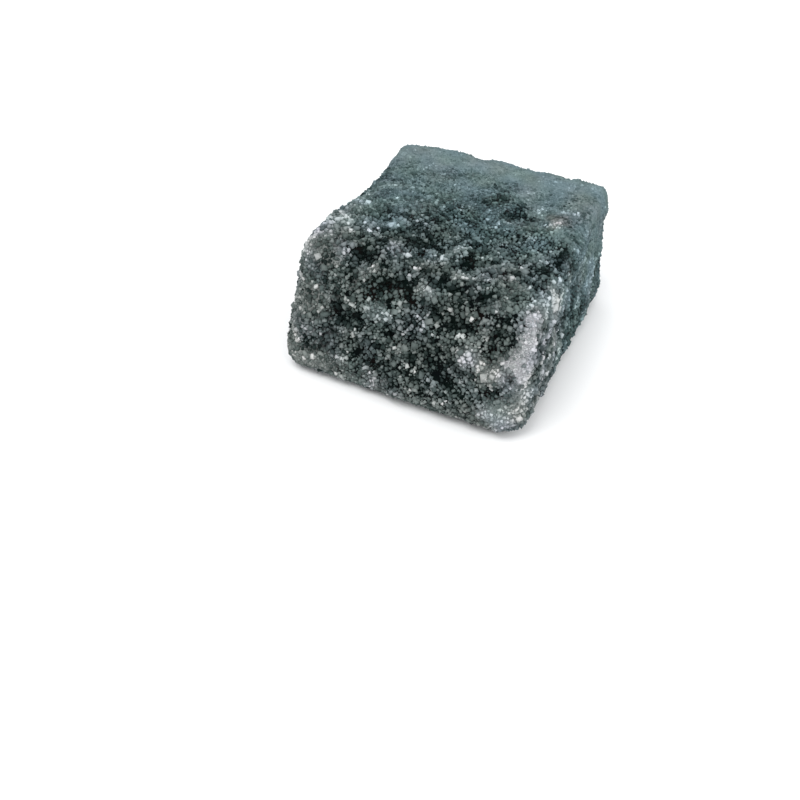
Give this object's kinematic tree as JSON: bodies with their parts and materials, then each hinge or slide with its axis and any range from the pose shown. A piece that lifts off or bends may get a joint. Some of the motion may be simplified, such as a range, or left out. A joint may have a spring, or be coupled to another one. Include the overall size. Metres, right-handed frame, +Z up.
{
  "type": "pectin gummy",
  "caption": "Dark sugar-coated pectin gummy: a soft, rounded, slightly crooked tablet of jelly that lies on its large flat face.",
  "frame": {"origin": "middle of the underside's box, on the surface that the gummy lies on", "axes": "+X along the width, +Y along the depth away from the shown side, +Z up through the thickness"},
  "size_m": [0.0216, 0.0252, 0.0121],
  "materials": {
    "sugared_jelly": "dark green-black jelly, frosted with coarse grey-white granulated sugar"
  },
  "bodies": {
    "root": {"gummy": "sugared_jelly"}
  },
  "joints": []
}
